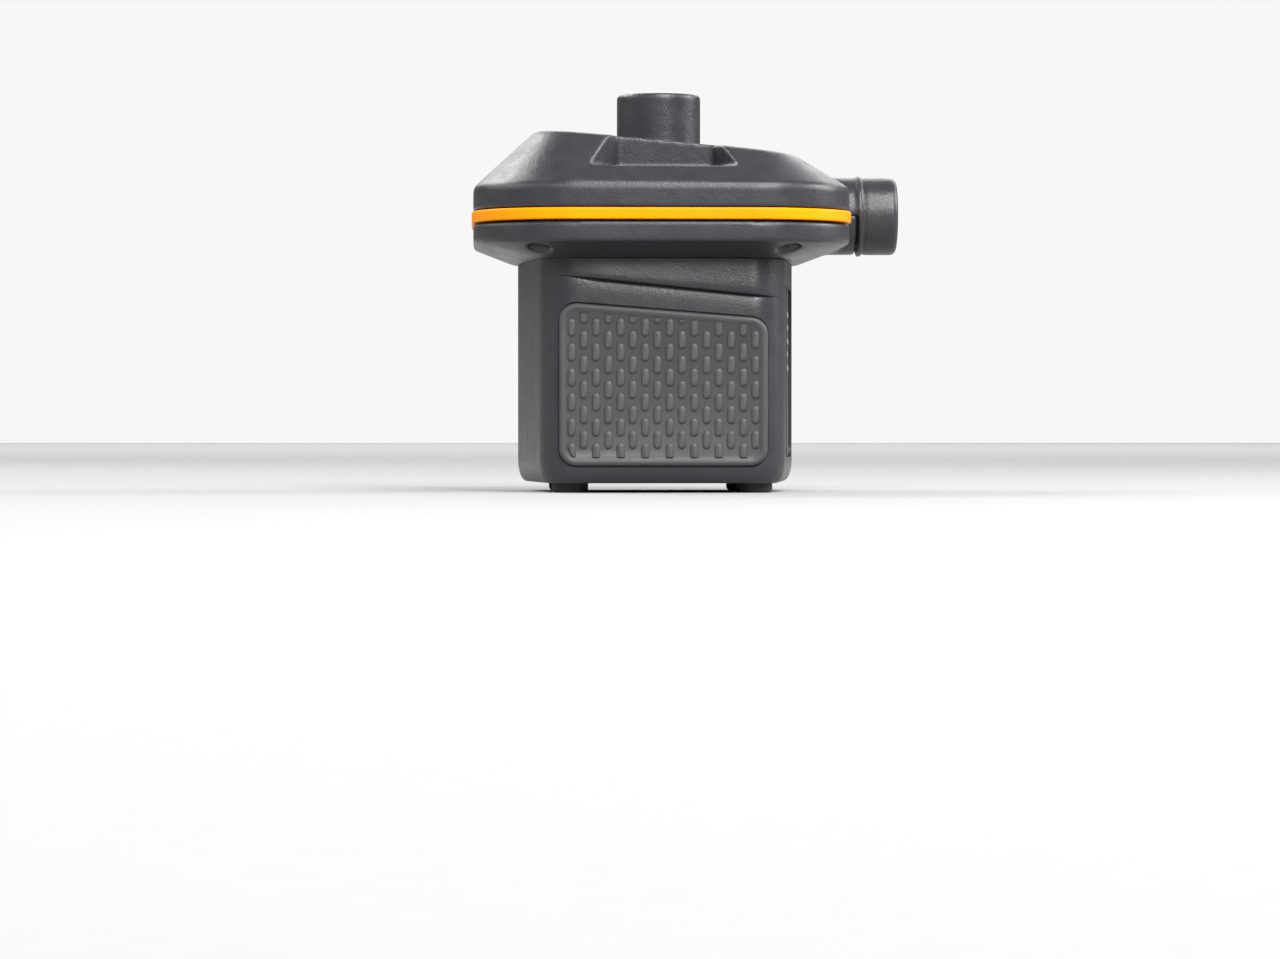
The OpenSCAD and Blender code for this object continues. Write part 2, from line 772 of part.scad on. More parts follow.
module motor_bushings() {
    color("#b08a3e") in_frame() {
        translate([0, 0, deck_z - 2]) difference() {
            cylinder(r = bushing_r, h = boss_h + 2);
            translate([0, 0, -1]) cylinder(r = shaft_d / 2 + shaft_clear, h = 20);
        }
        translate([0, 0, bell_z + 0.6]) difference() {
            cylinder(r = bushing_r, h = 2.2);
            translate([0, 0, -1]) cylinder(r = shaft_d / 2 + shaft_clear, h = 20);
        }
    }
}

module motor_brushes() {
    brush_z = can_bottom_z + 2.6;
    reach = motor_r - can_t - 2.2;
    color("#2e2e30") in_frame() for (s = [-1, 1]) {
        x_in = armature_r * 0.33 + 0.3;
        translate([s > 0 ? x_in : -reach, -1.5, brush_z]) cube([reach - x_in, 3, 3]);
    }
}

module motor_terminals() {
    color("#c9a24a") in_frame() for (s = [-1, 1])
        translate([s * terminal_x - 0.4, -1.4, bell_z - 3.4]) difference() {
            cube([0.8, 2.8, bell_h + 3.4 + 1.2]);
            translate([-1, 1.4, 1.4]) rotate([0, 90, 0]) cylinder(r = 0.7, h = 3);
        }
}

module motor_screws() {
    color(steel) in_frame() for (s = [-1, 1])
        translate([s * motor_screw_r, 0, chamber_floor_z - motor_screw_head_h - 0.2])
        rotate([180, 0, 0])
        screw(motor_screw_shank_r, 6, motor_screw_head_r, motor_screw_head_h);
}

module motor_cushion() {
    ring_z = base_z + base_plate_h + 2;
    color(part_black) in_frame() translate([0, 0, ring_z]) difference() {
        cylinder(r = motor_r - can_t - 0.6, h = bell_z - ring_z);
        translate([0, 0, -1]) cylinder(r = motor_r - 4.6, h = 20);
        translate([-motor_r, terminal_y - lead_r - 0.5, -1]) cube([motor_d, motor_d, 20]);
    }
}

module capacitor() {
    disc_r = 2.9;
    disc_t = 1.8;
    leg_z = bell_z - 2.9;
    color("#b5752a") in_frame() {
        along_y(0, -disc_t / 2, bell_z - disc_r - 0.5) cylinder(r = disc_r, h = disc_t);
        translate([-terminal_x + 0.4, -0.3, leg_z - 0.3]) cube([2 * terminal_x - 0.8, 0.6, 0.6]);
    }
}

// ---------- switch and inlet ----------

module at_switch() { translate([switch_x, body_back_y, rear_z]) children(); }

module switch_body() {
    cavity_w = rocker_w + 0.6;
    cavity_h = rocker_h + 0.8;
    color(part_black) in_frame() at_switch() difference() {
        union() {
            translate([-switch_w / 2, 0, -switch_h / 2]) cube([switch_w, bezel_t, switch_h]);
            translate([-switch_plug_w / 2, -switch_depth, -switch_plug_h / 2])
                cube([switch_plug_w, switch_depth + 0.5, switch_plug_h]);
        }
        translate([-cavity_w / 2, -switch_depth + 2, -cavity_h / 2])
            cube([cavity_w, switch_depth + 5, cavity_h]);
    }
}

// Rocker in its own frame, level: its pivot runs along X through the origin
module rocker_shape() {
    dish_r = rocker_h * 1.6;
    difference() {
        translate([-rocker_w / 2, -3.2, -rocker_h / 2 + 0.5]) cube([rocker_w, 6, rocker_h - 1]);
        translate([-rocker_w, dish_r + 1.6, 0]) rotate([0, 90, 0])
            cylinder(r = dish_r, h = rocker_w * 2);
        for (s = [-1, 1]) translate([-rocker_w, -3.2, s * rocker_h / 2])
            rotate([s * 38, 0, 0]) translate([0, -3, -1.8]) cube([rocker_w * 2, 3.6, 3.6]);
    }
}

module switch_rocker() {
    color("#131315") in_frame() translate([switch_x, rocker_axis_y, rear_z])
        rotate([-rocker_travel / 2, 0, 0]) rocker_shape();
}

module switch_terminals() {
    color("#c9a24a") in_frame() at_switch() for (s = [-1, 1])
        translate([-1.4, -switch_depth - 3.6, s * switch_plug_h * 0.25 - 0.4]) cube([2.8, 3.6, 0.8]);
}

module inlet_socket() {
    color(part_black) in_frame() along_y(inlet_x, body_back_y, rear_z) difference() {
        union() {
            translate([0, 0, -socket_depth]) cylinder(r = socket_r, h = socket_depth);
            cylinder(r = socket_flange_r, h = socket_flange_t);
        }
        translate([0, 0, -socket_depth + 1.5]) cylinder(d = inlet_bore, h = 30);
        translate([0, 0, -socket_depth - 1]) cylinder(d = inlet_pin_d, h = 5);
    }
}

module inlet_contacts() {
    color("#c9a24a") in_frame() along_y(inlet_x, body_back_y, rear_z) {
        translate([0, 0, -socket_depth - 3]) cylinder(d = inlet_pin_d, h = socket_depth + 3 - 0.6);
        translate([-1.2, inlet_tab_z - 0.3, -socket_depth - 3]) cube([2.4, 0.6, 3]);
    }
}

module inlet_nut() {
    color(steel) in_frame() along_y(inlet_x, body_back_y - body_wall - nut_t, rear_z) difference() {
        cylinder(r = nut_r, h = nut_t, $fn = 6);
        translate([0, 0, -1]) cylinder(r = socket_r, h = 10);
    }
}

// ---------- internal leads ----------

lead_sides = 8;
function unit(v) = v / norm(v);
function tangent(p, i) = unit(p[min(i + 1, len(p) - 1)] - p[max(i - 1, 0)]);
function side_of(t) = abs(t[2]) < 0.9 ? unit(cross(t, [0, 0, 1])) : unit(cross(t, [0, 1, 0]));
function lead_ring(p, i, r) = let (t = tangent(p, i), u = side_of(t), v = cross(t, u))
    [for (k = [0 : lead_sides - 1]) let (a = 360 * k / lead_sides) p[i] + r * (cos(a) * u + sin(a) * v)];

// Round lead swept along the points of its route
module lead(p, r) {
    n = lead_sides;
    last = (len(p) - 1) * n;
    polyhedron(
        points = [for (i = [0 : len(p) - 1]) each lead_ring(p, i, r)],
        faces = concat(
            [[for (k = [0 : n - 1]) k]],
            [for (i = [0 : len(p) - 2], k = [0 : n - 1])
                [i * n + k, (i + 1) * n + k, (i + 1) * n + (k + 1) % n, i * n + (k + 1) % n]],
            [[for (k = [n - 1 : -1 : 0]) last + k]]));
}

// Smooth route between two ends: it leaves the first along out_a and meets the second along out_b
function bend(a, out_a, b, out_b, steps) = [for (i = [0 : steps]) let (t = i / steps)
    pow(1 - t, 3) * a + 3 * pow(1 - t, 2) * t * (a + out_a) + 3 * (1 - t) * t * t * (b + out_b)
    + pow(t, 3) * b];

terminal_end_z = bell_z - 3.4;
switch_tab_y = body_back_y - switch_depth - 2.6;
inlet_tab_y = body_back_y - socket_depth - 2;

terminal_y = 1.4 + lead_r;
switch_tab_z = switch_plug_h * 0.25;
solder = lead_r + 0.6;

module lead_inlet_to_switch() {
    color("#b3261e") in_frame() lead(bend(
        [inlet_x, inlet_tab_y, rear_z + inlet_pin_d / 2 + 0.5], [-2, 4, 11],
        [switch_x, switch_tab_y, rear_z + switch_tab_z + 0.9], [2, 4, 9], 18), lead_r);
}

module lead_switch_to_motor() {
    color("#b3261e") in_frame() lead(bend(
        [switch_x, switch_tab_y, rear_z - switch_tab_z - solder], [0, 1.5, -15],
        [-terminal_x, terminal_y, terminal_end_z + 0.6], [0, 14, -2], 18), lead_r);
}

module lead_inlet_to_motor() {
    color("#1b1b1d") in_frame() lead(bend(
        [inlet_x, inlet_tab_y, rear_z - inlet_tab_z - solder], [0, 1.5, -14],
        [terminal_x, terminal_y, terminal_end_z + 0.6], [0, 14, -2], 18), lead_r);
}

upper_housing();
lower_housing();
trim_band();
volute_cover();
body_shell();
base_cover();
rubber_feet();
grip_pad();
label_plate();
housing_screws();
deck_screws();
base_screws();
impeller();
impeller_insert();
motor_shaft();
motor_armature();
motor_windings();
motor_commutator();
motor_can();
motor_end_bell();
motor_magnets();
motor_bushings();
motor_brushes();
motor_terminals();
motor_screws();
motor_cushion();
capacitor();
switch_body();
switch_rocker();
switch_terminals();
inlet_socket();
inlet_contacts();
inlet_nut();
lead_inlet_to_switch();
lead_switch_to_motor();
lead_inlet_to_motor();
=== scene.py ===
# Looks of a hand-held electric air pump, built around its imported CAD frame. Lengths are in metres.
import json
import math

import bmesh
import bpy
from mathutils import Matrix, Vector


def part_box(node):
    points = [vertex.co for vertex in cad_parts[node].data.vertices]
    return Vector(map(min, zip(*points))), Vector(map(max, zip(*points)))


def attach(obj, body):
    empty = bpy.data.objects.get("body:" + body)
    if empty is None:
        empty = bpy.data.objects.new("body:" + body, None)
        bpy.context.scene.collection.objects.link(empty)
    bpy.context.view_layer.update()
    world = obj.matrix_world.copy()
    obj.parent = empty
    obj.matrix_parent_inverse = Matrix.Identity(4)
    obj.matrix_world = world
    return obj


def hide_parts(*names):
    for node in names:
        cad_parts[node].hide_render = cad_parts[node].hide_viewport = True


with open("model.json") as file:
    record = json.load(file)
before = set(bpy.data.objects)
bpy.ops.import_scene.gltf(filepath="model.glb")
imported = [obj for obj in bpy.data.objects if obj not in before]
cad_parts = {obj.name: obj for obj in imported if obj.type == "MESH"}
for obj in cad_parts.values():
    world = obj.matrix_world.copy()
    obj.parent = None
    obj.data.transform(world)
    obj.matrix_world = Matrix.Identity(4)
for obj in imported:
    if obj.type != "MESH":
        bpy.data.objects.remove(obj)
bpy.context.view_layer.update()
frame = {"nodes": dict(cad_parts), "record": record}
MM = 0.001

# ---------------------------------------------------------------- places, from the frame

SHAFT_LOW, SHAFT_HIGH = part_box("motor_shaft")
AXIS_X = (SHAFT_LOW.x + SHAFT_HIGH.x) / 2
UPPER_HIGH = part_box("upper_housing")[1]
BAND_LOW, BAND_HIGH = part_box("trim_band")
BODY_LOW, BODY_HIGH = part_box("body_shell")
PAD_LOW, PAD_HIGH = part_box("grip_pad")
FEET_LOW, FEET_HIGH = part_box("rubber_feet")
LABEL_LOW, LABEL_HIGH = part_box("label_plate")
SOCKET_LOW, SOCKET_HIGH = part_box("inlet_socket")
SWITCH_LOW, SWITCH_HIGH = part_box("switch_body")
MOUNTS = {m["name"]: m for m in frame["record"]["mounts"]}


def mount_radius(name):
    return MOUNTS[name]["dims"]["r_mm"] * MM


OUTLET = Vector(MOUNTS["outlet_spigot"]["pos_m"])
OUTLET_R = mount_radius("outlet_spigot")
OUTLET_BORE_R = mount_radius("outlet_bore")
PORT_R = mount_radius("intake_spigot")
PORT_BORE_R = mount_radius("intake_bore")

BAND_PROUD = 0.4 * MM
HEAD_W = BAND_HIGH.x - BAND_LOW.x - 2 * BAND_PROUD
HEAD_D = BAND_HIGH.y - BAND_LOW.y - 2 * BAND_PROUD
HEAD_R = 24 * MM
UPPER_WALL_H = 5.4 * MM
RIM_Z = BAND_HIGH.z
DOME_Z = RIM_Z + UPPER_WALL_H
PORT_Z = UPPER_HIGH.z
DECK_Z = BODY_HIGH.z
BASE_Z = BODY_LOW.z
BODY_BACK_Y = BODY_HIGH.y
BODY_D = 61 * MM
BODY_BACK_W = BODY_HIGH.x - BODY_LOW.x
BODY_TAPER = 9 * MM
BODY_FRONT_W = BODY_BACK_W - BODY_TAPER
ROUND_STEPS = 96

# ---------------------------------------------------------------- mesh helpers


def new_object(name, mesh, material):
    piece = bpy.data.objects.new(name, mesh)
    bpy.context.scene.collection.objects.link(piece)
    piece.data.materials.clear()
    piece.data.materials.append(material)
    return piece


def mesh_of(name, points, faces):
    mesh = bpy.data.meshes.new(name)
    mesh.from_pydata([tuple(p) for p in points], [], faces)
    mesh.validate()
    tidy = bmesh.new()
    tidy.from_mesh(mesh)
    bmesh.ops.remove_doubles(tidy, verts=tidy.verts, dist=1e-7)
    bmesh.ops.recalc_face_normals(tidy, faces=tidy.faces)
    tidy.to_mesh(mesh)
    tidy.free()
    return mesh


def grid_faces(columns, rows, wrap_rows):
    """Quads of a grid whose columns close round on themselves, numbered column by column."""
    faces = []
    last = rows if wrap_rows else rows - 1
    for i in range(columns):
        for j in range(last):
            a, b = i * rows + j, i * rows + (j + 1) % rows
            c, d = ((i + 1) % columns) * rows + (j + 1) % rows, ((i + 1) % columns) * rows + j
            faces.append((a, b, c, d))
    return faces


def shade_smooth(mesh, angle=None):
    mesh.polygons.foreach_set("use_smooth", [True] * len(mesh.polygons))
    if angle is not None:
        mesh.set_sharp_from_angle(angle=math.radians(angle))


def apply_modifiers(piece):
    """Bakes the piece's modifiers into its mesh."""
    bpy.context.view_layer.update()
    shaped = bpy.data.meshes.new_from_object(piece.evaluated_get(bpy.context.evaluated_depsgraph_get()))
    old = piece.data
    piece.modifiers.clear()
    piece.data = shaped
    shaped.name = piece.name
    bpy.data.meshes.remove(old)


def cut(piece, mesh, operation="DIFFERENCE"):
    """Cuts a closed mesh out of the piece, or joins it on."""
    tool = bpy.data.objects.new("tool", mesh)
    bpy.context.scene.collection.objects.link(tool)
    boolean = piece.modifiers.new("cut", "BOOLEAN")
    boolean.operation = operation
    boolean.solver = "EXACT"
    boolean.object = tool
    apply_modifiers(piece)
    bpy.data.objects.remove(tool)


def join_meshes(name, meshes):
    merged = bmesh.new()
    for mesh in meshes:
        merged.from_mesh(mesh)
    joined = bpy.data.meshes.new(name)
    merged.to_mesh(joined)
    merged.free()
    return joined


def soften(piece, voxel, rounds, factor=0.5):
    """Rounds every edge: one even skin over the piece, then smoothed."""
    remesh = piece.modifiers.new("skin", "REMESH")
    remesh.mode = "VOXEL"
    remesh.voxel_size = voxel
    smooth = piece.modifiers.new("smooth", "SMOOTH")
    smooth.factor = factor
    smooth.iterations = rounds
    apply_modifiers(piece)
    shade_smooth(piece.data)


def fillet(path, radii, steps):
    """A path with each inner corner rounded off. Every corner gives the same number of points."""
    out = []
    count = len(path)
    for k, corner in enumerate(path):
        before, after = path[k - 1], path[(k + 1) % count]
        into, away = before - corner, after - corner
        reach = min(radii[k], into.length * 0.49, away.length * 0.49)
        start, end = corner + into.normalized() * reach, corner + away.normalized() * reach
        for s in range(steps + 1):
            t = s / steps
            out.append(start * (1 - t) ** 2 + corner * 2 * t * (1 - t) + end * t * t)
    return out


def rounded_rect(width, depth, radius, shift=0.0, corner_steps=26, side_steps=26):
    """Points round a rectangle with round corners, anticlockwise, with the same count on every side."""
    points = []
    for k, (sx, sy) in enumerate(((1, 1), (-1, 1), (-1, -1), (1, -1))):
        cx, cy = sx * (width / 2 - radius) + shift, sy * (depth / 2 - radius)
        for i in range(corner_steps):
            a = math.radians(90 * (k + i / corner_steps))
            points.append(Vector((cx + radius * math.cos(a), cy + radius * math.sin(a), 0)))
        a = math.radians(90 * (k + 1))
        start = Vector((cx + radius * math.cos(a), cy + radius * math.sin(a), 0))
        nx, ny = ((-1, 1), (-1, -1), (1, -1), (1, 1))[k]
        ex, ey = nx * (width / 2 - radius) + shift, ny * (depth / 2 - radius)
        end = Vector((ex + radius * math.cos(a), ey + radius * math.sin(a), 0))
        points += [start.lerp(end, i / side_steps) for i in range(side_steps)]
    return points


def head_ring(inset):
    return rounded_rect(HEAD_W - 2 * inset, HEAD_D - 2 * inset, HEAD_R - inset)


def at_height(ring, z):
    return [Vector((p.x, p.y, z)) for p in ring]


def round_ring(ring, radius):
    """Points on a circle, each in the direction of the ring's own point."""
    return [Vector((p.x, p.y, 0)).normalized() * radius for p in ring]


def revolve(profile, axis_point, direction, steps=64):
    """Closed solid of revolution. The profile is pairs of radius and distance along the direction."""
    direction = Vector(direction).normalized()
    side = direction.orthogonal().normalized()
    other = direction.cross(side)
    points, rows = [], len(profile)
    for i in range(steps):
        a = 2 * math.pi * i / steps
        out = side * math.cos(a) + other * math.sin(a)
        points += [Vector(axis_point) + direction * along + out * radius for radius, along in profile]
    return mesh_of("revolved", points, grid_faces(steps, rows, True))


def rod(radius, start, end, steps=64):
    """Plain closed cylinder between two points, for cutting."""
    start, end = Vector(start), Vector(end)
    length = (end - start).length
    tiny = 1e-6
    return revolve([(tiny, 0), (radius, 0), (radius, length), (tiny, length)], start, end - start, steps)


def prism(outline, low, high, axes=(0, 1, 2)):
    """Closed prism over an outline of pairs; axes say which directions the pair and the height take."""
    points = []
    for h in (low, high):
        for a, b in outline:
            p = [0, 0, 0]
            p[axes[0]], p[axes[1]], p[axes[2]] = a, b, h
            points.append(Vector(p))
    n = len(outline)
    faces = [tuple(range(n)), tuple(range(2 * n - 1, n - 1, -1))]
    faces += [(i, (i + 1) % n, n + (i + 1) % n, n + i) for i in range(n)]
    return mesh_of("prism", points, faces)


def shift_x(mesh, distance):
    mesh.transform(Matrix.Translation((distance, 0, 0)))
    return mesh


def smoothstep(low, high, value):
    t = min(max((value - low) / (high - low), 0), 1)
    return t * t * (3 - 2 * t)


def finish_piece(piece, body, slot, *nodes):
    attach(piece, body)
    if nodes:
        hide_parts(*nodes)
    return piece


# ---------------------------------------------------------------- materials


class Nodes:
    """Builds one material's node tree in object coordinates."""

    def __init__(self, name):
        self.material = bpy.data.materials.new(name)
        self.material.use_nodes = True
        self.tree = self.material.node_tree
        self.shader = self.tree.nodes["Principled BSDF"]
        self.coordinates = self.tree.nodes.new("ShaderNodeTexCoord").outputs["Object"]

    def link(self, source, target):
        self.tree.links.new(source, target)

    def noise(self, scale, detail=3.0, roughness=0.55, stretch=None):
        node = self.tree.nodes.new("ShaderNodeTexNoise")
        node.inputs["Scale"].default_value = scale
        node.inputs["Detail"].default_value = detail
        node.inputs["Roughness"].default_value = roughness
        source = self.coordinates
        if stretch:
            mapping = self.tree.nodes.new("ShaderNodeMapping")
            mapping.inputs["Scale"].default_value = stretch
            self.link(source, mapping.inputs["Vector"])
            source = mapping.outputs["Vector"]
        self.link(source, node.inputs["Vector"])
        return node.outputs["Fac"]

    def remap(self, value, low, high, to_low, to_high):
        node = self.tree.nodes.new("ShaderNodeMapRange")
        limits = {"From Min": low, "From Max": high, "To Min": to_low, "To Max": to_high}
        for name, number in limits.items():
            node.inputs[name].default_value = number
        self.link(value, node.inputs["Value"])
        return node.outputs["Result"]

    def mix(self, factor, first, second):
        node = self.tree.nodes.new("ShaderNodeMix")
        node.data_type = "RGBA"
        self.link(factor, node.inputs["Factor"])
        for socket, value in ((node.inputs[6], first), (node.inputs[7], second)):
            if isinstance(value, tuple):
                socket.default_value = (*value, 1)
            else:
                self.link(value, socket)
        return node.outputs[2]

    def edges(self, low=0.52, high=0.62):
        """1 on worn outer edges, 0 elsewhere."""
        geometry = self.tree.nodes.new("ShaderNodeNewGeometry")
        return self.remap(geometry.outputs["Pointiness"], low, high, 0, 1)

    def bump(self, height, distance, strength=1.0, under=None):
        node = self.tree.nodes.new("ShaderNodeBump")
        node.inputs["Distance"].default_value = distance
        node.inputs["Strength"].default_value = strength
        self.link(height, node.inputs["Height"])
        if under:
            self.link(under, node.inputs["Normal"])
        return node.outputs["Normal"]


def shade(colour, factor):
    return tuple(min(c * factor, 1) for c in colour)


def moulded(name, colour, roughness, grain=2600, depth=0.02 * MM, wear=1.25, spread=0.06, coat=0.0,
            gloss=0.5):
    """Moulded plastic or rubber: eroded grain, faint mottling, uneven sheen and rubbed edges."""
    n = Nodes(name)
    mottle = n.noise(90, 4)
    base = n.mix(n.remap(mottle, 0.3, 0.7, 0, 1), shade(colour, 0.93), shade(colour, 1.07))
    n.link(n.mix(n.edges(), base, shade(colour, wear)), n.shader.inputs["Base Color"])
    n.link(n.remap(n.noise(260, 3), 0.3, 0.7, roughness - spread, roughness + spread),
           n.shader.inputs["Roughness"])
    coarse = n.bump(n.noise(700, 2), depth * 1.5, 0.5)
    n.link(n.bump(n.noise(grain, 2), depth, 1.0, coarse), n.shader.inputs["Normal"])
    n.shader.inputs["Specular IOR Level"].default_value = gloss
    n.shader.inputs["Coat Weight"].default_value = coat
    n.shader.inputs["Coat Roughness"].default_value = 0.12
    return n.material


def metal(name, colour, roughness, stretch=(1, 1, 40), depth=0.004 * MM):
    """Drawn or turned metal: fine lines one way, smudges, darker in the hollows."""
    n = Nodes(name)
    lines = n.noise(900, 3, stretch=stretch)
    smudge = n.noise(140, 4)
    base = n.mix(n.remap(smudge, 0.35, 0.7, 0, 1), shade(colour, 0.85), shade(colour, 1.1))
    n.link(n.mix(n.edges(), base, shade(colour, 1.3)), n.shader.inputs["Base Color"])
    n.link(n.remap(lines, 0.3, 0.7, roughness - 0.08, roughness + 0.1), n.shader.inputs["Roughness"])
    n.link(n.bump(lines, depth, 0.8), n.shader.inputs["Normal"])
    n.shader.inputs["Metallic"].default_value = 1.0
    return n.material


SHELL = (0.024, 0.024, 0.0285)
MATERIALS = {
    "shell": moulded("shell_plastic", SHELL, 0.35, grain=2700, depth=0.055 * MM, wear=1.12),
    "trim": moulded("trim_plastic", (0.86, 0.29, 0.001), 0.35, grain=900, depth=0.004 * MM, wear=1.1,
                    gloss=0.12),
    "grip_rubber": moulded("grip_rubber", (0.046, 0.046, 0.05), 0.52, grain=3200, wear=1.3),
    "black_rubber": moulded("foot_rubber", (0.018, 0.018, 0.019), 0.7, grain=2400),
    "black_plastic": moulded("black_plastic", (0.02, 0.02, 0.022), 0.45),
    "impeller": moulded("impeller_nylon", (0.045, 0.045, 0.05), 0.5),
    "label": moulded("label_film", (0.05, 0.05, 0.055), 0.35, grain=1800, depth=0.006 * MM),
    "switch_black": moulded("switch_nylon", (0.013, 0.013, 0.014), 0.28, grain=1500, depth=0.004 * MM,
                            coat=0.2),
    "magnet": moulded("ferrite", (0.06, 0.06, 0.065), 0.6, grain=1500),
    "carbon": moulded("carbon", (0.03, 0.03, 0.03), 0.55),
    "ceramic": moulded("ceramic", (0.5, 0.2, 0.04), 0.3, grain=800, coat=0.3),
    "red_lead": moulded("red_insulation", (0.45, 0.015, 0.012), 0.4, grain=900),
    "black_lead": moulded("black_insulation", (0.015, 0.015, 0.015), 0.4, grain=900),
    "screw_steel": metal("screw_steel", (0.05, 0.05, 0.055), 0.42),
    "steel": metal("steel", (0.58, 0.59, 0.6), 0.3),
    "brass": metal("brass", (0.75, 0.53, 0.2), 0.3),
    "copper": metal("copper", (0.7, 0.28, 0.1), 0.35, stretch=(1, 1, 1)),
    "lamination": metal("lamination", (0.24, 0.24, 0.25), 0.45),
}
PRINT = moulded("label_print", (0.42, 0.42, 0.43), 0.5, grain=1800, depth=0.004 * MM, wear=1.0)

# ---------------------------------------------------------------- camera, light and floor

CAMERA_DISTANCE = 1.1
CAMERA_HEIGHT = 14.5 * MM
CAMERA_LEFT = 4.4 * MM
CAMERA_TURN = math.radians(-2)
CAMERA_TILT = math.radians(-0.61)
LENS_MM, SENSOR_MM = 130, 36

# Name, place, width, height and power of each light aimed at the middle of the pump
STUDIO_LIGHTS = (("softbox", (0.25, -0.5, 0.85), 0.5, 0.35, 8),
                 ("key", (0.4, -1.1, 0.7), 0.3, 0.35, 11),
                 ("right_rim", (0.8, 0.1, 0.45), 0.35, 0.5, 4),
                 ("left_back", (-0.6, 0.5, 0.8), 0.4, 0.4, 6))
FAR_REACH, FAR_HEIGHT, FAR_SIZE, FAR_POWER = 3.2, 1.4, 3.5, 100
WORLD_LIGHTING, WORLD_SEEN = 0.17, 0.93
FLOOR_HALF = 4.2


def make_camera():
    data = bpy.data.cameras.new("camera")
    data.lens = LENS_MM
    data.sensor_width = SENSOR_MM
    camera = bpy.data.objects.new("camera", data)
    bpy.context.scene.collection.objects.link(camera)
    right = Vector((math.cos(CAMERA_TURN), math.sin(CAMERA_TURN), 0))
    forward = Vector((-math.sin(CAMERA_TURN), math.cos(CAMERA_TURN), 0))
    camera.location = Vector((AXIS_X, 0, CAMERA_HEIGHT)) - forward * CAMERA_DISTANCE - right * CAMERA_LEFT
    camera.rotation_euler = (math.pi / 2 + CAMERA_TILT, 0, CAMERA_TURN)
    bpy.context.scene.camera = camera


def area_light(name, place, aim, width, height, power):
    data = bpy.data.lights.new(name, "AREA")
    data.shape = "RECTANGLE"
    data.size, data.size_y, data.energy = width, height, power
    light = bpy.data.objects.new(name, data)
    bpy.context.scene.collection.objects.link(light)
    light.location = place
    light.rotation_euler = (Vector(aim) - Vector(place)).to_track_quat("-Z", "Y").to_euler()


def make_world():
    """White where the camera sees it, and a dimmer light on everything else."""
    world = bpy.data.worlds.new("studio")
    world.use_nodes = True
    tree = world.node_tree
    seen = tree.nodes.new("ShaderNodeLightPath").outputs["Is Camera Ray"]
    level = tree.nodes.new("ShaderNodeMapRange")
    level.inputs["To Min"].default_value = WORLD_LIGHTING
    level.inputs["To Max"].default_value = WORLD_SEEN
    tree.links.new(seen, level.inputs["Value"])
    tree.links.new(level.outputs["Result"], tree.nodes["Background"].inputs["Strength"])
    tree.nodes["Background"].inputs["Color"].default_value = (1, 1, 1, 1)
    bpy.context.scene.world = world
    bpy.context.scene.view_settings.view_transform = "Standard"


def make_floor():
    paper = Nodes("floor_paper")
    paper.link(paper.mix(paper.noise(400, 2), (0.335, 0.335, 0.335), (0.35, 0.35, 0.35)),
               paper.shader.inputs["Base Color"])
    paper.shader.inputs["Roughness"].default_value = 0.9
    corners = [(-FLOOR_HALF, -FLOOR_HALF, 0), (FLOOR_HALF, -FLOOR_HALF, 0),
               (FLOOR_HALF, FLOOR_HALF, 0), (-FLOOR_HALF, FLOOR_HALF, 0)]
    new_object("floor", mesh_of("floor", corners, [(0, 1, 2, 3)]), paper.material)


def make_studio():
    pump_middle = (0, 0, 0.06)
    for name, place, width, height, power in STUDIO_LIGHTS:
        area_light(name, place, pump_middle, width, height, power)
    for name, x, y in (("far_back", 0, FAR_REACH), ("far_front", 0, -FAR_REACH),
                       ("far_left", -FAR_REACH, 0), ("far_right", FAR_REACH, 0)):
        area_light(name, (x, y, FAR_HEIGHT), (x, y, 0), FAR_SIZE, FAR_SIZE, FAR_POWER)
    make_world()
    make_floor()


# ---------------------------------------------------------------- head

TOP_LEFT_X, TOP_RIGHT_X = -29.4 * MM, 30.8 * MM
TOP_LEFT_Z, TOP_RIGHT_Z = DOME_Z + 13.2 * MM, DOME_Z + 7.7 * MM
TOP_D = HEAD_D - 26 * MM
TOP_CORNER_R = 9 * MM
CEILING_Z = DOME_Z + 1.95 * MM
SHELL_WALL = 2.2 * MM
PORT_ROOT_R = PORT_R + 0.6 * MM
VOXEL = 0.4 * MM


def top_height(x):
    """Height of the dome's flat top, which slopes down to the right, with a slight crown."""
    along = (x - TOP_LEFT_X) / (TOP_RIGHT_X - TOP_LEFT_X)
    crown = 0.35 * MM * (1 - (2 * along - 1) ** 2)
    return TOP_LEFT_Z + (TOP_RIGHT_Z - TOP_LEFT_Z) * along + crown


def at_top(ring, drop):
    return [Vector((p.x, p.y, top_height(p.x) - drop)) for p in ring]


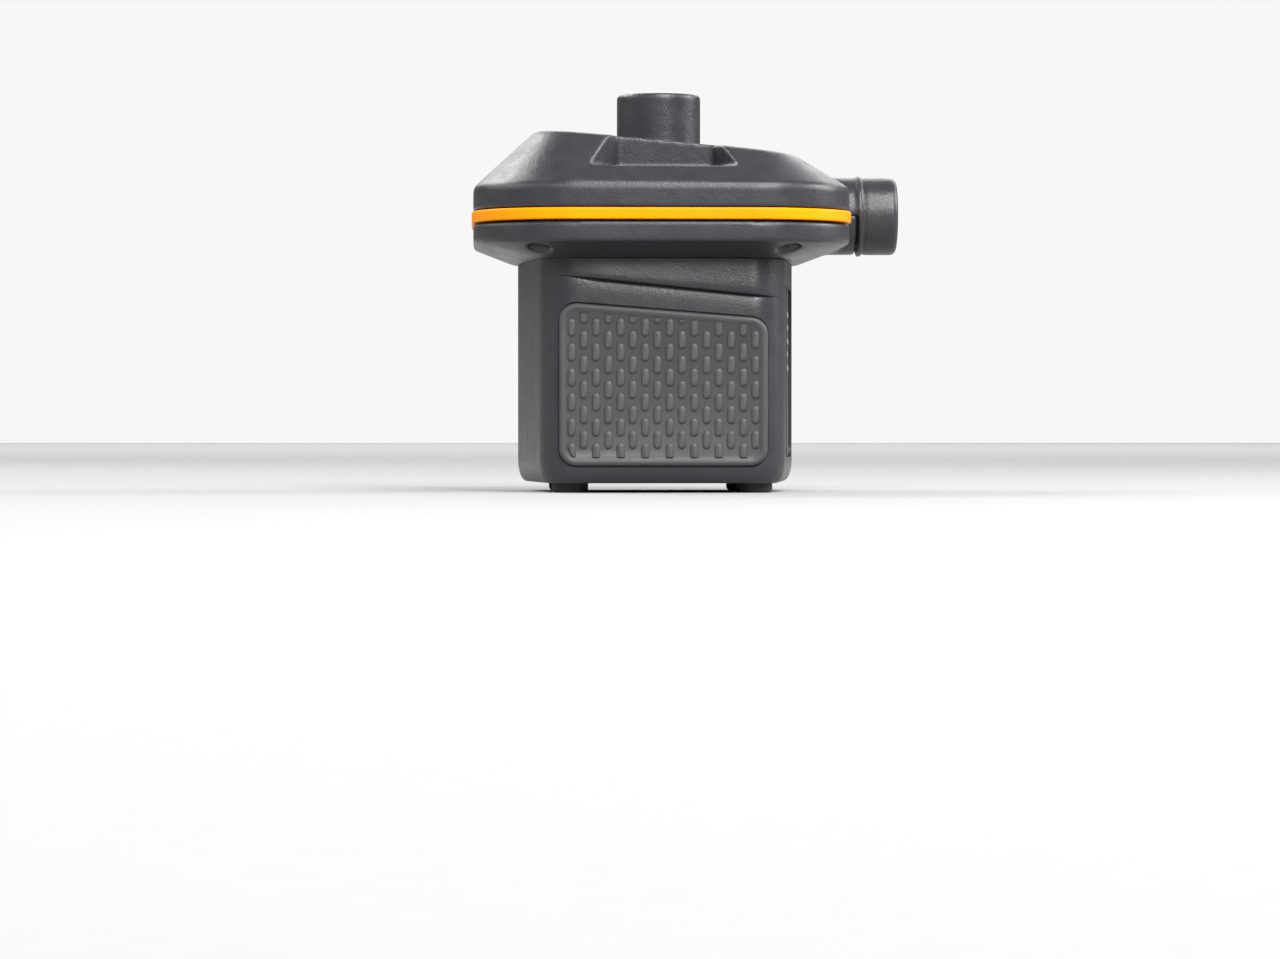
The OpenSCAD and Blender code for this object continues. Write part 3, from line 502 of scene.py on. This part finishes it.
def dome_mesh(solid):
    """Wall, slopes, flat top, port and bore as one skin. Inside it is a thin shell, or filled if solid."""
    wall = head_ring(0)
    top_w, top_x = TOP_RIGHT_X - TOP_LEFT_X, (TOP_LEFT_X + TOP_RIGHT_X) / 2
    top = rounded_rect(top_w, TOP_D, TOP_CORNER_R, top_x)
    port, bore, root = (round_ring(wall, radius) for radius in (PORT_R, PORT_BORE_R, PORT_ROOT_R))
    # Each ring with the reach of the rounding along it
    paths = [
        (at_height(wall, RIM_Z), 0.25 * MM),
        (at_height(wall, DOME_Z), 1.3 * MM),
        (at_top(top, 0), 1.5 * MM),
        (at_top(port, 0), 0.7 * MM),
        (at_height(port, PORT_Z), 1.7 * MM),
        (at_height(bore, PORT_Z), 0.5 * MM),
        (at_height(bore, CEILING_Z), 0.1 * MM),
    ]
    if solid:
        core_inset = 10 * MM
        paths.append((at_height(head_ring(core_inset), CEILING_Z), 0.1 * MM))
    else:
        inset = 1 * MM
        under = rounded_rect(top_w - 2 * inset, TOP_D - 2 * inset, TOP_CORNER_R - inset, top_x)
        paths += [(at_height(root, CEILING_Z), 0.1 * MM), (at_top(root, SHELL_WALL), 0.4 * MM),
                  (at_top(under, SHELL_WALL), 0.5 * MM)]
    lip = head_ring(SHELL_WALL)
    paths += [(at_height(lip, DOME_Z - 0.7 * MM), 0.3 * MM), (at_height(lip, RIM_Z), 0.2 * MM)]
    radii = [radius for _, radius in paths]
    steps = 6
    points = []
    for i in range(len(wall)):
        points += fillet([ring[i] for ring, _ in paths], radii, steps)
    return shift_x(mesh_of("dome", points, grid_faces(len(wall), len(paths) * (steps + 1), True)), AXIS_X)


POCKET_FLOOR_Z = DOME_Z + 4.3 * MM
POCKET_BACK_Y = -PORT_R - 15 * MM
POCKET_FRONT_Y = -HEAD_D / 2 + 4 * MM
POCKET_MOUTH_X = (-18 * MM, 18.6 * MM)
POCKET_BACK_X = (-10.4 * MM, 11.6 * MM)


def pocket_mesh(grow):
    """The recess in the front slope, below the port, grown on every side."""
    mouth_left, mouth_right = POCKET_MOUTH_X
    back_left, back_right = POCKET_BACK_X
    outline = [(mouth_left - grow, POCKET_FRONT_Y), (mouth_right + grow, POCKET_FRONT_Y),
               (back_right + grow, POCKET_BACK_Y + grow), (back_left - grow, POCKET_BACK_Y + grow)]
    return shift_x(prism(outline, POCKET_FLOOR_Z - grow, PORT_Z), AXIS_X)


BEAD_W = 1.3 * MM
SPIGOT_HALF_L = MOUNTS["outlet_spigot"]["dims"]["length_mm"] / 2 * MM
BEAD_X = OUTLET.x - SPIGOT_HALF_L - BEAD_W
OUTLET_END_X = UPPER_HIGH.x
COLLAR_START_X = AXIS_X + 30.4 * MM


def outlet_tube():
    """Outlet from its bead to its rounded rim, with a fine groove behind the bead."""
    length = OUTLET_END_X - BEAD_X
    bead, groove, lip, lip_steps = 0.45 * MM, 0.25 * MM, 1.5 * MM, 8
    profile = [(OUTLET_BORE_R, 0), (OUTLET_R, 0), (OUTLET_R + bead * 0.8, 0.1 * MM),
               (OUTLET_R + bead, 0.35 * MM), (OUTLET_R + bead, 0.8 * MM), (OUTLET_R + bead * 0.6, 1.1 * MM),
               (OUTLET_R - groove, 1.25 * MM), (OUTLET_R - groove, 1.7 * MM), (OUTLET_R, 1.95 * MM)]
    for i in range(lip_steps + 1):
        a = math.radians(90 * i / lip_steps)
        profile.append((OUTLET_R - lip + lip * math.cos(a), length - lip + lip * math.sin(a)))
    profile += [(OUTLET_BORE_R + 0.15 * MM, length), (OUTLET_BORE_R, length - 0.15 * MM)]
    return revolve(profile, (BEAD_X, OUTLET.y, OUTLET.z), (1, 0, 0), ROUND_STEPS)


def half_collar(start_x, end_x, upper, radius):
    """Half of the collar that carries the outlet, split level with its axis."""
    steps = 32
    side = 1 if upper else -1
    outline = []
    for r, order in ((radius, range(steps + 1)), (OUTLET_BORE_R, range(steps, -1, -1))):
        for i in order:
            a = math.pi * i / steps
            outline.append((OUTLET.y + r * math.cos(a), OUTLET.z + side * r * math.sin(a)))
    return prism(outline, start_x, end_x, (1, 2, 0))


def port_guard():
    """Ring and cross at the foot of the top port."""
    low, high, rib = CEILING_Z + 1 * MM, CEILING_Z + 3.4 * MM, 0.6 * MM
    ring_r = PORT_BORE_R * 0.53
    reach = PORT_BORE_R + 0.5 * MM
    bars = [prism([(-reach, -rib), (reach, -rib), (reach, rib), (-reach, rib)], low, high),
            prism([(-rib, -reach), (rib, -reach), (rib, reach), (-rib, reach)], low, high)]
    height = high - low
    ring = revolve([(ring_r - 2 * rib, 0), (ring_r, 0), (ring_r, height), (ring_r - 2 * rib, height)],
                   (0, 0, low), (0, 0, 1))
    return [shift_x(mesh, AXIS_X) for mesh in bars + [ring]]


def make_upper_housing():
    backing = new_object("pocket_backing", dome_mesh(True), MATERIALS["shell"])
    cut(backing, pocket_mesh(SHELL_WALL), "INTERSECT")
    cut(backing, pocket_mesh(0))
    piece = new_object("upper_shell", dome_mesh(False), MATERIALS["shell"])
    cut(piece, pocket_mesh(0))
    cut(piece, rod(OUTLET_R, (AXIS_X, OUTLET.y, OUTLET.z), (BEAD_X - 0.3 * MM, OUTLET.y, OUTLET.z),
                   ROUND_STEPS))
    collar = half_collar(COLLAR_START_X, BEAD_X + 0.2 * MM, True, OUTLET_R)
    parts = [piece.data, backing.data, outlet_tube(), collar]
    piece.data = join_meshes("upper_shell", parts + port_guard())
    piece.data.materials.append(MATERIALS["shell"])
    bpy.data.objects.remove(backing)
    soften(piece, VOXEL, rounds=5)
    finish_piece(piece, "housing", "shell", "upper_housing")


def make_lower_housing():
    """The CAD shell with every edge eased."""
    piece = new_object("lower_shell", frame["nodes"]["lower_housing"].data.copy(), MATERIALS["shell"])
    soften(piece, VOXEL, rounds=26)
    finish_piece(piece, "housing", "shell", "lower_housing")


def make_trim_band():
    """Band with rounded edges. A fine shadow gap shows above it and below it."""
    inner, outer = head_ring(SHELL_WALL), head_ring(-BAND_PROUD)
    gap_below, gap_above = 0.35 * MM, 0.15 * MM
    low, high = BAND_LOW.z + gap_below, BAND_HIGH.z - gap_above
    rings = [at_height(outer, low), at_height(outer, high), at_height(inner, high), at_height(inner, low)]
    radii, steps = [0.5 * MM, 0.5 * MM, 0.1 * MM, 0.1 * MM], 5
    points = []
    for i in range(len(outer)):
        points += fillet([ring[i] for ring in rings], radii, steps)
    mesh = shift_x(mesh_of("trim", points, grid_faces(len(outer), len(rings) * (steps + 1), True)), AXIS_X)
    piece = new_object("orange_trim", mesh, MATERIALS["trim"])
    inside_x = AXIS_X + 25 * MM
    cut(piece, rod(OUTLET_R + 0.2 * MM, (inside_x, OUTLET.y, OUTLET.z), (OUTLET_END_X, OUTLET.y, OUTLET.z),
                   ROUND_STEPS))
    shade_smooth(piece.data, 40)
    finish_piece(piece, "housing", "trim", "trim_band")


# ---------------------------------------------------------------- body

BODY_FRONT_R, BODY_BACK_R, BODY_WALL = 8.5 * MM, 8.5 * MM, 2.4 * MM
BODY_FRONT_Y = -BODY_D / 2
CREASE_LEFT_X, CREASE_RIGHT_X = -23 * MM, 26 * MM
CREASE_LEFT_Z, CREASE_RIGHT_Z = DECK_Z - 4.0 * MM, DECK_Z - 8.9 * MM
CREASE_DEPTH = 1.4 * MM
CREASE_RUN_ON = 4 * MM
CREASE_FADE_LEFT, CREASE_FADE_RIGHT = (-25.5 * MM, -13 * MM), (28 * MM, 20 * MM)
BOTTOM_ROUND_H, BOTTOM_ROUND_W = 5 * MM, 2.2 * MM
# Shares of the way up from the rounded bottom to the crease, and from the crease to the deck
ROWS_BELOW = (0.0, 0.15, 0.3, 0.45, 0.6, 0.72, 0.82, 0.89, 0.935, 0.965, 0.985, 0.995, 1.0)
ROWS_ABOVE = (0.0, 0.03, 0.07, 0.13, 0.22, 0.35, 0.5, 0.65, 0.8, 0.92, 0.98)
OPENING_GAP = 0.1 * MM


def body_ring(inset):
    """Outline of the body: its sides flare towards the back. Anticlockwise, dense across the front."""
    front = Vector((BODY_FRONT_W / 2 - BODY_FRONT_R, BODY_FRONT_Y + BODY_FRONT_R, 0))
    back = Vector((BODY_BACK_W / 2 - BODY_BACK_R, BODY_D / 2 - BODY_BACK_R, 0))
    along = back - front
    side = math.atan2(along.y, along.x) - math.acos((BODY_FRONT_R - BODY_BACK_R) / along.length)

    def arc(x, y, radius, start, end, steps=16):
        r = radius - inset
        angles = [start + (end - start) * i / steps for i in range(steps + 1)]
        return [Vector((x + r * math.cos(a), y + r * math.sin(a), 0)) for a in angles]

    def between(a, b, steps):
        return [a.lerp(b, i / steps) for i in range(1, steps)]

    half = math.pi / 2
    corners = [arc(front.x, front.y, BODY_FRONT_R, -half, side),
               arc(back.x, back.y, BODY_BACK_R, side, half),
               arc(-back.x, back.y, BODY_BACK_R, half, math.pi - side),
               arc(-front.x, front.y, BODY_FRONT_R, math.pi - side, 3 * half)]
    ring = []
    for k, steps in enumerate((30, 30, 30, 90)):
        ring += corners[k] + between(corners[k][-1], corners[(k + 1) % 4][0], steps)
    return ring


def crease_height(x):
    along = min(max(x, CREASE_LEFT_X - CREASE_RUN_ON), CREASE_RIGHT_X + CREASE_RUN_ON) - CREASE_LEFT_X
    return CREASE_LEFT_Z + (CREASE_RIGHT_Z - CREASE_LEFT_Z) * along / (CREASE_RIGHT_X - CREASE_LEFT_X)


def crease_strength(x):
    """Fades out at the crease's two ends, slowly on the left."""
    return smoothstep(*CREASE_FADE_LEFT, x) ** 0.6 * smoothstep(*CREASE_FADE_RIGHT, x)


def body_column(p, inside, normal):
    """Points up one place on the wall: inner face, rounded bottom edge, wall to the crease, lip above."""
    column = [Vector((inside.x, inside.y, DECK_Z - 2.8 * MM)),
              Vector((inside.x, inside.y, BASE_Z + 0.3 * MM)),
              Vector((inside.x, inside.y, BASE_Z)) + normal * 0.15 * MM]
    round_steps = 8
    for i in range(round_steps):
        a = math.radians(90 * i / round_steps)
        inset = BOTTOM_ROUND_W * (1 - math.sin(a))
        column.append(p - normal * inset + Vector((0, 0, BASE_Z + BOTTOM_ROUND_H * (1 - math.cos(a)))))
    on_front = smoothstep(-0.2, -0.75, normal.y)
    strength = CREASE_DEPTH * crease_strength(p.x) * on_front
    crease = crease_height(p.x)
    start = BASE_Z + BOTTOM_ROUND_H
    for t in ROWS_BELOW:
        z = start + (crease - start) * t
        dip = 0.5 * strength * math.exp(-(crease - z) / (1.6 * MM))
        column.append(Vector((p.x, p.y, z)) - normal * dip)
    top = DECK_Z - 0.02 * MM
    for t in ROWS_ABOVE:
        z = crease + 0.03 * MM + (top - crease) * t
        lip = strength * (1 - 0.6 * t) * (1 - 0.35 * math.exp(-t / 0.06))
        column.append(Vector((p.x, p.y, z)) + normal * lip)
    column.append(Vector((p.x, p.y, top)) + normal * (strength * 0.42 - 0.35 * MM))
    return column


def cut_body_openings(piece):
    """Recess of the grip pad, and openings for the motor, the inlet socket, the switch and the label."""
    cut(piece, pad_prism(0.35 * MM, PAD_HIGH.y - 0.02 * MM))
    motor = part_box("motor_can")
    motor_r = (motor[1].x - motor[0].x) / 2
    cut(piece, rod(motor_r + OPENING_GAP, (AXIS_X, 0, DECK_Z - 6 * MM), (AXIS_X, 0, DECK_Z + 2 * MM)))
    inner_y, outer_y = BODY_BACK_Y - 8 * MM, BODY_BACK_Y + 3 * MM
    socket_flange, switch_flange = 1.6 * MM, 1 * MM
    socket_r = (SOCKET_HIGH.z - SOCKET_LOW.z) / 2 - socket_flange
    socket_x, socket_z = (SOCKET_LOW.x + SOCKET_HIGH.x) / 2, (SOCKET_LOW.z + SOCKET_HIGH.z) / 2
    cut(piece, rod(socket_r + OPENING_GAP, (socket_x, inner_y, socket_z), (socket_x, outer_y, socket_z)))
    rim = switch_flange - OPENING_GAP
    left, right = SWITCH_LOW.x + rim, SWITCH_HIGH.x - rim
    low, high = SWITCH_LOW.z + rim, SWITCH_HIGH.z - rim
    cut(piece, prism([(left, low), (right, low), (right, high), (left, high)], inner_y, outer_y, (0, 2, 1)))
    cut(piece, label_tool(0.25 * MM))


def make_body_shell():
    """Columns of points round the body. Rows follow the crease, so its edge stays a clean line."""
    outer, inner = body_ring(0), body_ring(BODY_WALL)
    points = []
    for i, (p, inside) in enumerate(zip(outer, inner)):
        tangent = outer[(i + 1) % len(outer)] - outer[i - 1]
        points += body_column(p, inside, Vector((tangent.y, -tangent.x, 0)).normalized())
    rows = len(points) // len(outer)
    faces = grid_faces(len(outer), rows, False)
    faces.append(tuple(i * rows for i in range(len(outer))))
    faces.append(tuple(i * rows + rows - 1 for i in range(len(outer))))
    mesh = shift_x(mesh_of("body_case", points, faces), AXIS_X)
    piece = new_object("body_case", mesh, MATERIALS["shell"])
    cut_body_openings(piece)
    shade_smooth(piece.data, 35)
    finish_piece(piece, "housing", "shell", "body_shell")


# ---------------------------------------------------------------- label on the right side

LABEL_TURN = -math.atan((BODY_BACK_W - BODY_FRONT_W) / 2 / BODY_D)
SIDE_X = AXIS_X + (BODY_BACK_W + BODY_FRONT_W) / 4
LABEL_D, LABEL_SINK, LABEL_T = 33.6 * MM, 0.7 * MM, 0.5 * MM
BAR_PITCH, BAR_H = 3.2 * MM, 1.1 * MM


def on_right_side(mesh):
    mesh.transform(Matrix.Translation((SIDE_X, 0, 0)) @ Matrix.Rotation(LABEL_TURN, 4, "Z"))
    return mesh


def label_outline(grow):
    width, height = LABEL_D + 2 * grow, LABEL_HIGH.z - LABEL_LOW.z + 2 * grow
    middle = (LABEL_LOW.z + LABEL_HIGH.z) / 2
    return [(p.x, p.y + middle) for p in rounded_rect(width, height, 2.5 * MM, 0, 8, 2)]


def label_tool(grow):
    return on_right_side(prism(label_outline(grow), -LABEL_SINK, 6 * MM, (1, 2, 0)))


def make_label():
    """Blank rating plate with plain bars in place of print."""
    plate = new_object("side_label", on_right_side(
        prism(label_outline(0), -LABEL_SINK, -LABEL_SINK + LABEL_T, (1, 2, 0))), MATERIALS["label"])
    bars = []
    top = LABEL_HIGH.z - 6 * MM
    for k, share in enumerate((0.8, 0.62, 0.8, 0.45, 0.7)):
        z = top - k * BAR_PITCH
        half = LABEL_D * share / 2
        shift = half - LABEL_D * 0.4
        outline = [(p.x + shift, p.y + z) for p in rounded_rect(2 * half, BAR_H, 0.4 * MM, 0, 4, 2)]
        bars.append(prism(outline, -LABEL_SINK + 0.48 * MM, -LABEL_SINK + 0.55 * MM, (1, 2, 0)))
    prints = new_object("side_label_bars", on_right_side(join_meshes("bars", bars)), PRINT)
    shade_smooth(plate.data, 30)
    shade_smooth(prints.data, 30)
    finish_piece(plate, "housing", "label", "label_plate")
    finish_piece(prints, "housing", "label")


# ---------------------------------------------------------------- grip pad

PAD_LEFT_H = PAD_HIGH.z - PAD_LOW.z
PAD_DROP = 3.2 * MM
PAD_RIGHT_H = PAD_LEFT_H - PAD_DROP
PAD_W = PAD_HIGH.x - PAD_LOW.x
PAD_R = 4 * MM


def pad_ring(inset):
    """Outline of the pad in X and Z: its top edge slopes down to the right."""
    r = PAD_R - inset
    slope = math.atan((PAD_LEFT_H - PAD_RIGHT_H) / (PAD_W - 2 * PAD_R))
    turn = 90 - math.degrees(slope)
    right, left = PAD_W / 2 - PAD_R, -PAD_W / 2 + PAD_R
    corners = ((right, PAD_R, -90, 0), (right, PAD_RIGHT_H - PAD_R, 0, turn),
               (left, PAD_LEFT_H - PAD_R, turn, 180), (left, PAD_R, 180, 270))
    steps = 12
    ring = []
    for cx, cz, start, end in corners:
        for i in range(steps + 1):
            a = math.radians(start + (end - start) * i / steps)
            ring.append((cx + r * math.cos(a), cz + r * math.sin(a)))
    return ring


def pad_prism(grow, back_y):
    outline = [(AXIS_X + x, PAD_LOW.z + z) for x, z in pad_ring(-grow)]
    return prism(outline, back_y, BODY_FRONT_Y - 10 * MM, (0, 2, 1))


def inside_field(x, z, inset):
    """Moves a point to the nearest place inside the pad's textured field."""
    low_x, high_x = -PAD_W / 2 + inset, PAD_W / 2 - inset
    x = min(max(x, low_x), high_x)
    right = (x + PAD_W / 2) / PAD_W
    top = PAD_LEFT_H + (PAD_RIGHT_H - PAD_LEFT_H) * right - inset
    z = min(max(z, inset), top)
    corner = PAD_R - inset
    for cx, cz, sx, sz in ((PAD_W / 2 - PAD_R, PAD_R, 1, -1), (-PAD_W / 2 + PAD_R, PAD_R, -1, -1),
                           (PAD_W / 2 - PAD_R, PAD_RIGHT_H - PAD_R, 1, 1),
                           (-PAD_W / 2 + PAD_R, PAD_LEFT_H - PAD_R, -1, 1)):
        dx, dz = x - cx, z - cz
        if dx * sx > 0 and dz * sz > 0 and math.hypot(dx, dz) > corner:
            scale = corner / math.hypot(dx, dz)
            x, z = cx + dx * scale, cz + dz * scale
    return x, z


def lozenge(x, z, half_w, half_h, y_low, y_high, inset):
    """One raised lozenge: a stadium with a crowned top, trimmed where it meets the field's border."""
    rings = ((1.0, 0.0), (0.96, 0.3), (0.84, 0.6), (0.64, 0.83), (0.38, 0.96), (0.12, 1.0))
    steps = 20
    points, faces = [], []
    for shrink, rise in rings:
        w, straight = half_w * shrink, half_h - half_w
        for i in range(steps):
            a = 2 * math.pi * i / steps
            px = x + w * math.cos(a)
            pz = z + (straight if math.sin(a) > 0 else -straight) + w * math.sin(a)
            px, pz = inside_field(px, pz, inset)
            points.append(Vector((px, y_low + (y_high - y_low) * rise, pz)))
    for j in range(len(rings) - 1):
        for i in range(steps):
            k = (i + 1) % steps
            faces.append((j * steps + i, j * steps + k, (j + 1) * steps + k, (j + 1) * steps + i))
    faces.append(tuple(range(steps)))
    faces.append(tuple(range(len(rings) * steps - 1, (len(rings) - 1) * steps - 1, -1)))
    return mesh_of("lozenge", points, faces)


def make_grip_pad():
    """Pad with a rounded border and a sunk field, filled with lozenges in staggered columns."""
    back, front = PAD_HIGH.y, PAD_LOW.y
    rim_in, field_in, field_sink = 0.55 * MM, 1.9 * MM, 0.5 * MM
    field_y = front + field_sink
    # How far in from the outline, and the depth there
    stations = [(0.0, back), (0.0, front + 0.55 * MM), (0.1 * MM, front + 0.3 * MM),
                (rim_in, front + 0.02 * MM), (rim_in + 0.2 * MM, front),
                (field_in - 0.75 * MM, front + 0.03 * MM), (field_in - 0.45 * MM, front + 0.15 * MM),
                (field_in, field_y)]
    points = []
    rings = [pad_ring(inset) for inset, _ in stations]
    count = len(rings[0])
    for i in range(count):
        points += [Vector((ring[i][0], y, ring[i][1])) for ring, (_, y) in zip(rings, stations)]
    rows = len(stations)
    faces = grid_faces(count, rows, False)
    faces.append(tuple(i * rows for i in range(count)))
    faces.append(tuple(i * rows + rows - 1 for i in range(count)))
    meshes = [mesh_of("pad", points, faces)]
    pitch_x, pitch_z, columns = 2.84 * MM, 5.78 * MM, 16
    half_w, half_h, least_shown = 1.0 * MM, 2.15 * MM, 1 * MM
    first_z = field_in + 1.2 * MM
    for c in range(columns):
        x = (c - (columns - 1) / 2) * pitch_x
        for r in range(-1, 8):
            z = first_z + r * pitch_z + (pitch_z / 2 if c % 2 else 0)
            right = (x + PAD_W / 2) / PAD_W
            top = PAD_LEFT_H + (PAD_RIGHT_H - PAD_LEFT_H) * right - field_in
            if z - half_h > top - least_shown or z + half_h < field_in + least_shown:
                continue
            meshes.append(lozenge(x, z, half_w, half_h, field_y + 0.05 * MM, field_y - field_sink,
                                  field_in + 0.1 * MM))
    mesh = join_meshes("pad", meshes)
    mesh.transform(Matrix.Translation((AXIS_X, 0, PAD_LOW.z)))
    piece = new_object("grip_pad_rubber", mesh, MATERIALS["grip_rubber"])
    shade_smooth(piece.data, 50)
    finish_piece(piece, "housing", "grip_rubber", "grip_pad")


# ---------------------------------------------------------------- feet and small parts


def make_feet():
    low, high = FEET_LOW, FEET_HIGH
    radius = 4.25 * MM
    profile = [(1e-6, 0), (radius - 0.9 * MM, 0), (radius - 0.5 * MM, 0.08 * MM),
               (radius - 0.15 * MM, 0.4 * MM), (radius, 0.9 * MM), (radius, high.z), (1e-6, high.z)]
    meshes = [revolve(profile, (x, y, 0), (0, 0, 1), 48)
              for x in (low.x + radius, high.x - radius) for y in (low.y + radius, high.y - radius)]
    piece = new_object("feet_rubber", join_meshes("feet", meshes), MATERIALS["black_rubber"])
    shade_smooth(piece.data, 50)
    finish_piece(piece, "housing", "black_rubber", "rubber_feet")


def make_bevelled(node, body, slot, width, segments=3):
    """A CAD part with its sharp edges broken, as a moulded or stamped part has them."""
    piece = new_object(node + "_eased", frame["nodes"][node].data.copy(), MATERIALS[slot])
    clean = bmesh.new()
    clean.from_mesh(piece.data)
    bmesh.ops.remove_doubles(clean, verts=clean.verts, dist=1e-6)
    bmesh.ops.dissolve_limit(clean, angle_limit=math.radians(2), verts=clean.verts, edges=clean.edges)
    clean.to_mesh(piece.data)
    clean.free()
    bevel = piece.modifiers.new("edges", "BEVEL")
    bevel.width = width
    bevel.segments = segments
    bevel.limit_method = "ANGLE"
    bevel.angle_limit = math.radians(35)
    apply_modifiers(piece)
    shade_smooth(piece.data, 40)
    finish_piece(piece, body, slot, node)


def paint_cad_nodes():
    slots = {row["node"]: row["material_slot"] for row in frame["record"]["subparts"]}
    for name, node in frame["nodes"].items():
        node.data.materials.clear()
        node.data.materials.append(MATERIALS[slots[name]])
        shade_smooth(node.data, 30)


make_camera()
make_studio()
paint_cad_nodes()
make_upper_housing()
make_lower_housing()
make_trim_band()
make_body_shell()
make_label()
make_grip_pad()
make_feet()
make_bevelled("base_cover", "housing", "shell", 0.3 * MM)
make_bevelled("switch_body", "housing", "switch_black", 0.35 * MM)
make_bevelled("switch_rocker", "rocker", "switch_black", 0.35 * MM)
make_bevelled("inlet_socket", "housing", "switch_black", 0.25 * MM)
